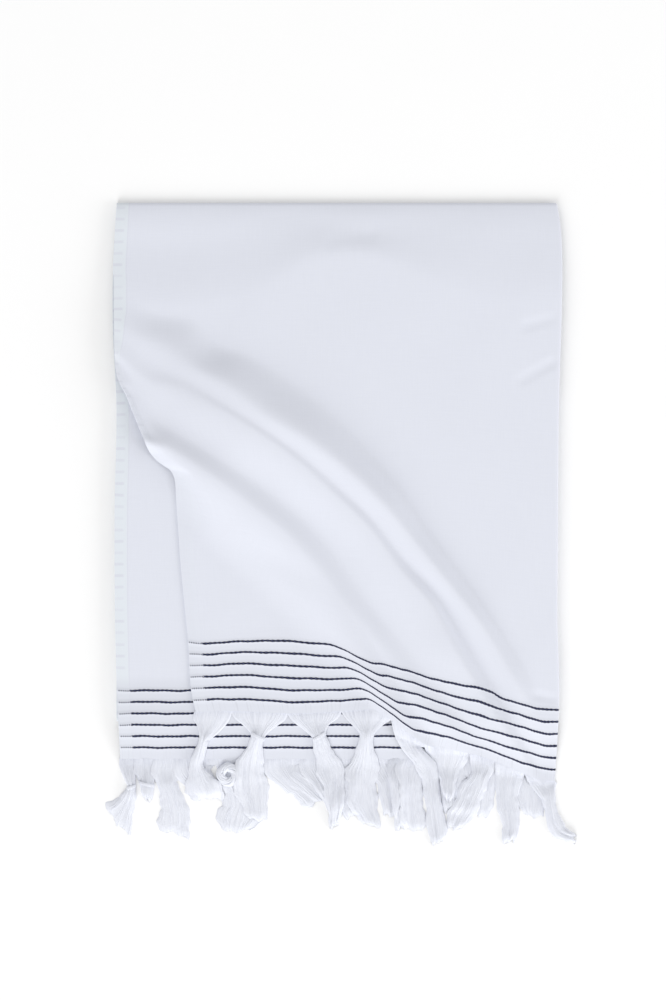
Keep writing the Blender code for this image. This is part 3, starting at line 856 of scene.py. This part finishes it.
def tassel_yarns(name, shape, settings, draw):
    """Single yarns that lie on the body and reach past its tip."""
    yarns = settings.yarns
    radius = settings.yarn / MM / 2
    start = (np.arange(yarns) + 0.5) / yarns * 1.88 - 0.94
    end = np.clip(start + draw.normal(0.0, 0.10, yarns), -0.96, 0.96)
    reach = shape.length + TUFT * (draw.random(yarns) * 1.5 - 0.6)
    phase = draw.random(yarns) * 2 * math.pi
    part = np.linspace(0.0, 1.0, YARN_STEPS)[None, :]
    s = 2.0 + (reach[:, None] - 2.0) * part
    drift = ease(shape.knot, shape.length, s)
    u = start[:, None] + (end - start)[:, None] * drift + 0.035 * np.sin(s / 9.0 + phase[:, None])
    u = np.clip(u, -0.97, 0.97)
    paths = shape.place(u, s, 1.0)
    paths[:, :, 2] += radius * (0.25 * np.sin(phase) - 0.3)[:, None]
    paths[:, :, 2] = np.maximum(paths[:, :, 2], shape.sample(shape.base, u, s) + radius)
    radii = np.full((yarns, YARN_STEPS), radius) * (0.85 + 0.3 * draw.random(yarns))[:, None]
    radii[:, -2] *= 0.7
    return roll_yarns(name, to_frame(paths), radii * MM)


def knot_wrap(shape, radius, draw):
    """The turns of yarn that tie the tassel."""
    i = int(np.argmin(np.abs(shape.s - shape.knot)))
    middle = len(SECTION) // 2
    low, high = shape.base[i, middle], shape.top[i, middle]
    heading, beside, thick = shape.heading[i], shape.beside[i], high - low
    centre = np.array((shape.x[i, middle], shape.y[i, middle], (low + high) / 2))
    angle = np.linspace(-math.pi / 2, 1.5 * math.pi, WRAP_STEPS)
    tilt = WRAP_TILT * (1 if draw.random() > 0.5 else -1)
    paths = np.zeros((WRAP_YARNS, WRAP_STEPS, 3))
    ups = np.zeros_like(paths)
    for j in range(WRAP_YARNS):
        ahead = (j - (WRAP_YARNS - 1) / 2) * radius * 1.6
        swell = 0.6 * radius * math.sin(math.pi * (j + 0.5) / WRAP_YARNS)
        across = (shape.width[i] / 2 + swell - 0.3) * np.cos(angle)
        up = (thick / 2 + swell) * np.sin(angle)
        forward = ahead + tilt * across
        flat = heading[None, :] * forward[:, None] + beside[None, :] * across[:, None]
        paths[j, :, :2] = centre[:2] + flat
        paths[j, :, 2] = np.maximum(centre[2] + up, centre[2] - thick / 2 + radius * 1.4)
        ups[j, :, :2] = beside[None, :] * np.cos(angle)[:, None]
        ups[j, :, 2] = np.sin(angle)
    radii = np.full((WRAP_YARNS, WRAP_STEPS), radius * 1.25)
    return roll_yarns("wrap", to_frame(paths), radii * MM, ups)


def tassel(name, row, ends, grounds, settings, draw):
    """One tassel: body, single yarns and the knot's turns."""
    shape = Tassel(row, ends, grounds, settings.ply / MM, draw)
    body = tassel_body(name, shape)
    body = join(body, tassel_yarns(name + "_yarns", shape, settings, draw))
    if shape.width[int(np.argmin(np.abs(shape.s - shape.knot)))] > WRAP_WIDTH:
        return body
    return join(body, knot_wrap(shape, settings.yarn / MM / 2, draw))


def knot_loop(grounds):
    """The loop of a knot that was left open."""
    x, y = on_photo(*LOOP_PLACE)
    angle = np.linspace(0.0, 2 * math.pi + 0.25, LOOP_STEPS)
    paths = np.zeros((LOOP_YARNS, LOOP_STEPS, 3))
    base = max(
        ground_below(grounds, x + LOOP_RING * math.cos(a), y + LOOP_RING * math.sin(a), SKY)
        for a in angle)
    for i in range(LOOP_YARNS):
        turn = 2 * math.pi * i / LOOP_YARNS + angle + LOOP_SHIFT * i
        out = LOOP_RING + LOOP_THICK * np.cos(turn) + 0.5 * np.sin(2 * angle + 1.0)
        paths[i, :, 0] = x + out * np.cos(angle + LOOP_SHIFT * i)
        paths[i, :, 1] = y + out * np.sin(angle + LOOP_SHIFT * i)
        paths[i, :, 2] = min(base, 5.0) + 1.4 + 0.62 * LOOP_THICK * (1 + np.sin(turn))
    radii = np.full((LOOP_YARNS, LOOP_STEPS), LOOP_YARN)
    return roll_yarns("loop", to_frame(paths), radii * MM)


def woven_end(fold, lower):
    """The woven end of the upper or lower ply, from left to right."""
    first, last = (fold.width, fold.arc_end) if lower else (0.0, fold.flat)
    across = np.linspace(first, last, 240)
    return lie(fold, across, np.full(len(across), ROOT)) / MM + np.array((*MIDDLE, 0.0))


def make_tassels(name, table, lower, under, settings):
    """All the tassels of one ply, each laid on what is there already."""
    draw = np.random.default_rng(SEED + lower)
    ends = woven_end(Fold(), lower)
    grounds = [ground_of(item) for item in under]
    body = None
    for row in table:
        piece = tassel(name, row, ends, grounds, settings, draw)
        bpy.context.view_layer.update()
        grounds.append(ground_of(piece))
        body = piece if body is None else join(body, piece)
    if lower:
        body = join(body, knot_loop(grounds[:1]))
    body.name = name
    body.data.name = name
    return body


def make_tucked_fringe(settings):
    """The fringe of the hidden end: plain flat tassels that follow the folded cloth."""
    fold = Fold()
    out = np.linspace(0.0, TUCKED_REACH, TUCKED_STEPS)
    knot, narrow = TUCKED_KNOT
    paths = []
    for first, last in ((0.0, fold.flat), (fold.arc_end, fold.width)):
        room = (last - first) / TUCKED_TASSELS
        wide = room * 0.46
        half = wide + (narrow - wide) * ease(0.0, knot, out)
        for i in range(TUCKED_TASSELS):
            middle = first + room * (i + 0.5)
            for j in range(TUCKED_YARNS):
                u = (j + 0.5) / TUCKED_YARNS * 2 - 1
                paths.append(lie(fold, middle + u * half, fold.length + out - 0.5))
    paths = np.array(paths)
    radii = np.full(paths.shape[:2], settings.yarn / MM / 2 * 1.1) * MM
    return roll_yarns("tucked_yarns", paths, radii)


# ---------------------------------------------------------------- materials

class Nodes:
    """Adds shader nodes to one tree. Every value is a socket or a plain value."""

    def __init__(self, tree):
        self.tree = tree

    def feed(self, socket, value):
        if isinstance(value, bpy.types.NodeSocket):
            self.tree.links.new(value, socket)
        else:
            socket.default_value = value

    def node(self, kind, values, **choices):
        """A node with the given choices, fed by number or name of the socket; returns its outputs."""
        node = self.tree.nodes.new("ShaderNode" + kind)
        for label, choice in choices.items():
            setattr(node, label, choice)
        for label, value in values.items():
            self.feed(node.inputs[label], value)
        return node.outputs

    def maths(self, operation, *values, clamp=False):
        return self.node("Math", dict(enumerate(values)), operation=operation, use_clamp=clamp)[0]

    def add(self, first, second):
        return self.maths("ADD", first, second)

    def take(self, first, second):
        return self.maths("SUBTRACT", first, second)

    def times(self, first, second):
        return self.maths("MULTIPLY", first, second)

    def smooth(self, value, low, high, start=0.0, end=1.0):
        values = {"Value": value, "From Min": low, "From Max": high, "To Min": start, "To Max": end}
        return self.node("MapRange", values, interpolation_type="SMOOTHSTEP")["Result"]

    def mix(self, share, first, second):
        return self.node("Mix", {0: share, 6: first, 7: second}, data_type="RGBA")[2]

    def scaled(self, vector, scale):
        return self.node("VectorMath", {0: vector, 1: scale}, operation="MULTIPLY")[0]

    def noise(self, vector, scale, detail):
        """Noise with its own scale in each direction."""
        values = {"Vector": self.scaled(vector, scale), "Scale": 1.0, "Detail": detail}
        return self.node("TexNoise", values, noise_dimensions="3D")["Fac"]

    def bump(self, height, distance):
        return self.node("Bump", {"Strength": 1.0, "Distance": distance, "Height": height})[0]

    def pattern(self, scale):
        """The piece's own pattern, made larger: vector, across and along."""
        vector = self.scaled(self.node("UVMap", {})[0], (scale, scale, scale))
        split = self.node("SeparateXYZ", {0: vector})
        return vector, split[0], split[1]

    def group(self, tree, values):
        node = self.tree.nodes.new("ShaderNodeGroup")
        node.node_tree = tree
        for label, value in values.items():
            self.feed(node.inputs[label], value)
        return node.outputs


def new_group(name, inputs):
    """A node group that makes Height and Tone from plain numbers: its nodes, sockets and outlet."""
    tree = bpy.data.node_groups.new(name, "ShaderNodeTree")
    for label, default in inputs.items():
        socket = tree.interface.new_socket(label, in_out="INPUT", socket_type="NodeSocketFloat")
        socket.default_value = default
    for label in ("Height", "Tone"):
        tree.interface.new_socket(label, in_out="OUTPUT", socket_type="NodeSocketFloat")
    entry = tree.nodes.new("NodeGroupInput").outputs
    return Nodes(tree), entry[0], entry[1], entry[2], tree.nodes.new("NodeGroupOutput").inputs


def new_material(name, roughness, sheen):
    material = bpy.data.materials.new(name)
    material.use_nodes = True
    inputs = material.node_tree.nodes["Principled BSDF"].inputs
    inputs["Roughness"].default_value = roughness
    inputs["Specular IOR Level"].default_value = 0.2
    inputs["Sheen Weight"].default_value = sheen
    inputs["Sheen Roughness"].default_value = 0.6
    return material, Nodes(material.node_tree), inputs


def tint(colour, share):
    return (*[value * share for value in colour], 1.0)


def weave_group():
    """Plain weave: Height for the bump, and Tone for the light and dark of uneven threads."""
    g, across, along, thread, out = new_group("Plain weave", {"Across": 0.0, "Along": 0.0, "Thread": 1.0})
    warp = g.maths("SINE", g.times(g.maths("DIVIDE", across, thread), math.pi))
    weft = g.maths("SINE", g.times(g.maths("DIVIDE", along, thread), math.pi))
    place = g.node("CombineXYZ", {0: across, 1: along})[0]
    slub = g.add(g.noise(place, (0.9, 0.035, 1.0), 3.0), g.noise(place, (0.03, 0.8, 1.0), 3.0))
    height = g.add(g.times(g.times(warp, weft), 0.3), g.times(slub, 0.55))
    g.feed(out["Height"], height)
    g.feed(out["Tone"], slub)
    return g.tree


def edge_marks(g, fold, vector, edge, across, along):
    """The self-edge's band: where it shows, its line and all its marks, and which ply this is."""
    band_line = g.smooth(g.maths("ABSOLUTE", g.take(edge, SELF_EDGE_BAND)), 1.0, 0.2)
    dash = g.maths("PINGPONG", along, 6.7)
    dashes = g.times(g.smooth(dash, 2.4, 0.9), g.smooth(edge, 11.5, 8.5))
    worn = g.noise(vector, (0.0, 0.03, 0.0), 1.0)
    dashes = g.times(dashes, g.smooth(worn, 0.35, 0.6, 0.7, 1.8))
    dashes = g.times(dashes, g.smooth(along, 95.0, 100.0))
    lower = g.maths("GREATER_THAN", across, fold.width / 2)
    shown = g.maths("MAXIMUM", lower, g.smooth(along, 430.0, 500.0, 0.12, 1.0))
    marked = g.maths("MAXIMUM", shown, g.smooth(along, 335.0, 365.0))
    line = g.times(band_line, shown)
    marks = g.times(g.maths("MAXIMUM", line, g.times(dashes, marked)), 0.5)
    band = g.times(g.smooth(edge, SELF_EDGE_BAND, SELF_EDGE_BAND - 1.5), shown)
    return band, line, marks, lower


def rope_stripes(g, vector, edge, body, across, along):
    """The stripes: twisted rope yarns, thin and dotted inside the self-edge's band, and their strands."""
    shifted = g.add(g.take(along, FIRST_STRIPE), STRIPE_PITCH / 2)
    cell = g.maths("FLOOR", g.maths("DIVIDE", shifted, STRIPE_PITCH))
    away = g.take(g.take(shifted, g.times(cell, STRIPE_PITCH)), STRIPE_PITCH / 2)
    inside = g.times(g.maths("GREATER_THAN", cell, -0.5), g.maths("LESS_THAN", cell, STRIPES - 0.5))
    lay = g.add(across, g.times(cell, 17.3))
    swell = g.maths("SINE", g.times(lay, 2 * math.pi / 5.2))
    drift = g.noise(vector, (0.09, 0.3, 0.0), 2.0)
    half = g.add(g.times(swell, 0.16), g.add(0.78, g.times(drift, 0.66)))
    off = g.add(away, g.times(g.take(drift, 0.5), 0.9))
    thick_line = g.smooth(g.take(g.maths("ABSOLUTE", off), half), 0.25, -0.25)
    dots = g.smooth(g.maths("PINGPONG", across, 1.25), 0.2, 0.6)
    thin_line = g.times(g.smooth(g.maths("ABSOLUTE", away), 0.95, 0.45), dots)
    thin_line = g.times(thin_line, g.smooth(edge, 0.5, 1.5))
    line = g.add(g.times(thick_line, body), g.times(g.times(thin_line, 0.8), g.take(1.0, body)))
    line = g.maths("MULTIPLY", line, inside, clamp=True)
    strand = g.maths("SINE", g.add(g.times(lay, 2 * math.pi / 4.2), g.times(away, 1.7)))
    return line, strand


def cloth_material(settings):
    fold = Fold()
    material, g, shader = new_material("Woven cotton", 0.85, 0.15)
    vector, across, along = g.pattern(1000.0)
    woven = g.group(weave_group(), {"Across": across, "Along": along, "Thread": 0.9})
    cotton = g.mix(
        g.smooth(woven["Tone"], 0.7, 1.3), tint(settings.cotton, 0.99), tint(settings.cotton, 1.01))

    # Distance to the nearer self-edge, and the ragged border of its band
    edge = g.maths("MINIMUM", across, g.take(fold.width, across))
    border = g.add(SELF_EDGE_BAND - 2.0, g.times(g.noise(vector, (0.0, 1.1, 0.0), 0.0), 5.0))
    body = g.smooth(g.take(edge, border), -0.4, 0.4)
    band, band_line, marks, lower = edge_marks(g, fold, vector, edge, across, along)
    pale = [value * share for value, share in zip(settings.cotton, (1.01, 1.035, 1.0))]
    cotton = g.mix(band, cotton, tint(pale, 1.0))
    cotton = g.mix(marks, cotton, tint(settings.cotton, 0.93))

    # Darker among the stripes on both plies, and more so on the lower ply's end, where this is painted
    # shade of the upper ply
    stripe_band_and_painted_shade = g.times(g.smooth(along, 100.0, 84.0), g.add(g.times(lower, 0.55), 0.2))
    cotton = g.mix(stripe_band_and_painted_shade, cotton, tint(settings.cotton, 0.91))

    # Bare warp between the last stripe and the woven end
    near_end = g.smooth(along, FIRST_STRIPE - 1.0, FIRST_STRIPE - 4.0)
    streaks = g.times(near_end, g.smooth(g.noise(vector, (0.42, 0.02, 0.0), 2.0), 0.52, 0.7))
    cotton = g.mix(streaks, cotton, tint(settings.cotton, 0.9))

    line, strand = rope_stripes(g, vector, edge, body, across, along)
    rope = g.mix(g.smooth(strand, 0.2, 1.0), tint(settings.stripe, 1.0), tint(settings.stripe, 3.5))
    g.feed(shader["Base Color"], g.mix(line, cotton, rope))
    twist = g.times(g.maths("ABSOLUTE", strand), line)
    height = g.add(g.times(woven["Height"], 0.5), g.times(twist, 1.5))
    height = g.take(height, g.times(band_line, 0.8))
    g.feed(shader["Normal"], g.bump(height, 0.08 * MM))
    return material


def yarn_group():
    """Twisted yarn: Height for the bump, and Tone for each yarn's own shade.

    Around is negative on bodies that stand for many yarns.
    """
    g, around, along, twist, out = new_group("Twisted yarn", {"Around": 0.0, "Along": 0.0, "Twist": 2.5})
    many = g.maths("LESS_THAN", around, -0.25)
    turn = g.add(g.times(around, 4 * math.pi), g.times(g.maths("DIVIDE", along, twist), 2 * math.pi))
    rounds = g.maths("ABSOLUTE", g.maths("SINE", g.times(around, math.pi)))
    height = g.add(g.times(g.maths("SINE", turn), 0.6), g.times(g.times(rounds, 4.0), many))
    number = g.maths("FLOOR", g.add(around, 0.2))
    g.feed(out["Height"], height)
    g.feed(out["Tone"], g.node("TexWhiteNoise", {"W": number}, noise_dimensions="1D")["Value"])
    return g.tree


def yarn_material(settings, name):
    material, g, shader = new_material(name, 0.9, 0.2)
    around, along = g.pattern(1.0)[1:]
    along = g.times(along, 1000.0)
    twisted = g.group(yarn_group(), {"Around": around, "Along": along, "Twist": 2.6})
    colour = g.mix(twisted["Tone"], tint(settings.fringe, 0.985), tint(settings.fringe, 1.015))
    colour = g.mix(g.smooth(along, 3.0, 16.0), tint(settings.cotton, 0.99), colour)
    g.feed(shader["Base Color"], colour)
    g.feed(shader["Normal"], g.bump(twisted["Height"], 0.035 * MM))
    return material


def floor_material(settings):
    material, g, shader = new_material("Pale floor", 0.8, 0.0)
    cloud = g.noise(g.node("TexCoord", {})["Object"], (9.0, 9.0, 9.0), 3.0)
    colour = g.mix(cloud, tint(settings.floor, 0.995), tint(settings.floor, 1.005))
    g.feed(shader["Base Color"], colour)
    return material


def towel_yarn(settings):
    """The tassels' material, made once."""
    return bpy.data.materials.get("Fringe yarn") or yarn_material(settings, "Fringe yarn")


# ---------------------------------------------------------------- operators

class TOWEL_OT_woven_cloth(bpy.types.Operator):
    """Lay the woven cloth over its solid, with the drawn folds and stripes"""
    bl_idname = "towel.woven_cloth"
    bl_label = "Woven Cloth"

    def execute(self, context):
        settings = context.scene.towel
        cloth = make_cloth(settings)
        cloth.data.materials.append(cloth_material(settings))
        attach(cloth, "root")
        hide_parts("towel_cloth")
        return {"FINISHED"}


class TOWEL_OT_lower_tassels(bpy.types.Operator):
    """Knot the tassels of the lower ply"""
    bl_idname = "towel.lower_tassels"
    bl_label = "Lower Tassels"

    def execute(self, context):
        settings = context.scene.towel
        cloth = bpy.data.objects["woven_cloth"]
        piece = make_tassels("lower_tassels", LOWER_TASSELS, True, [cloth], settings)
        piece.data.materials.append(towel_yarn(settings))
        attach(piece, "root")
        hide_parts("end_fringe")
        return {"FINISHED"}


class TOWEL_OT_upper_tassels(bpy.types.Operator):
    """Knot the tassels of the upper ply over the lower ones"""
    bl_idname = "towel.upper_tassels"
    bl_label = "Upper Tassels"

    def execute(self, context):
        settings = context.scene.towel
        cloth = bpy.data.objects["woven_cloth"]
        under = [cloth, bpy.data.objects["lower_tassels"]]
        piece = make_tassels("upper_tassels", UPPER_TASSELS, False, under, settings)
        piece.data.materials.append(towel_yarn(settings))
        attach(piece, "root")
        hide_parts("end_fringe")
        return {"FINISHED"}


class TOWEL_OT_tucked_fringe(bpy.types.Operator):
    bl_idname = "towel.tucked_fringe"
    bl_label = "Tucked Fringe"

    def execute(self, context):
        settings = context.scene.towel
        piece = make_tucked_fringe(settings)
        piece.data.materials.append(towel_yarn(settings))
        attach(piece, "root")
        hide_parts("tucked_fringe")
        return {"FINISHED"}


class TOWEL_OT_studio(bpy.types.Operator):
    """Set the pale floor, the soft light and the camera straight above"""
    bl_idname = "towel.studio"
    bl_label = "Studio"

    def execute(self, context):
        settings = context.scene.towel
        bpy.ops.object.select_all(action="DESELECT")
        bpy.ops.mesh.primitive_grid_add(x_subdivisions=8, y_subdivisions=8, size=12.0)
        floor = context.object
        floor.name = "floor"
        floor.data.materials.append(floor_material(settings))

        world = bpy.data.worlds.new("Studio")
        context.scene.world = world
        world.use_nodes = True
        sky = world.node_tree.nodes["Background"]
        sky.inputs["Color"].default_value = (1.0, 1.0, 1.0, 1.0)
        sky.inputs["Strength"].default_value = settings.fill

        for label, strength, compass, height, size in LIGHTS:
            around, up = math.radians(compass), math.radians(height)
            level = math.cos(up)
            toward = Vector((math.cos(around) * level, math.sin(around) * level, math.sin(up)))
            bpy.ops.object.light_add(type="AREA", location=toward * LIGHT_DISTANCE)
            lamp = context.object
            lamp.name = label
            lamp.data.shape = "DISK"
            lamp.data.size = size
            lamp.data.energy = strength
            lamp.rotation_euler = toward.to_track_quat("Z", "Y").to_euler()

        above = to_frame(np.array((*PHOTO_MIDDLE, CAMERA_HEIGHT)))
        bpy.ops.object.camera_add(location=tuple(above), rotation=(0.0, 0.0, 0.0))
        camera = context.object
        camera.data.sensor_fit = "VERTICAL"
        camera.data.sensor_height = SENSOR
        camera.data.lens = SENSOR * (CAMERA_HEIGHT - CLOTH_LEVEL) / FIELD
        camera.data.clip_end = 50.0
        context.scene.camera = camera
        context.scene.view_settings.view_transform = "Standard"
        return {"FINISHED"}


class TOWEL_PT_panel(bpy.types.Panel):
    bl_idname = "TOWEL_PT_panel"
    bl_label = "Hammam Towel"
    bl_space_type = "VIEW_3D"
    bl_region_type = "UI"
    bl_category = "Towel"

    def draw(self, context):
        settings = context.scene.towel
        for label in TowelSettings.__annotations__:
            self.layout.prop(settings, label)
        for step in STEPS:
            self.layout.operator(step.bl_idname)


STEPS = (
    TOWEL_OT_woven_cloth, TOWEL_OT_lower_tassels, TOWEL_OT_upper_tassels, TOWEL_OT_tucked_fringe,
    TOWEL_OT_studio,
)


def register():
    for item in (TowelSettings, *STEPS, TOWEL_PT_panel):
        bpy.utils.register_class(item)
    bpy.types.Scene.towel = PointerProperty(type=TowelSettings)


def unregister():
    del bpy.types.Scene.towel
    for item in reversed((TowelSettings, *STEPS, TOWEL_PT_panel)):
        bpy.utils.unregister_class(item)


def main():
    register()
    bpy.ops.towel.woven_cloth()
    bpy.ops.towel.lower_tassels()
    bpy.ops.towel.upper_tassels()
    bpy.ops.towel.tucked_fringe()
    bpy.ops.towel.studio()


if __name__ == "__main__":
    main()
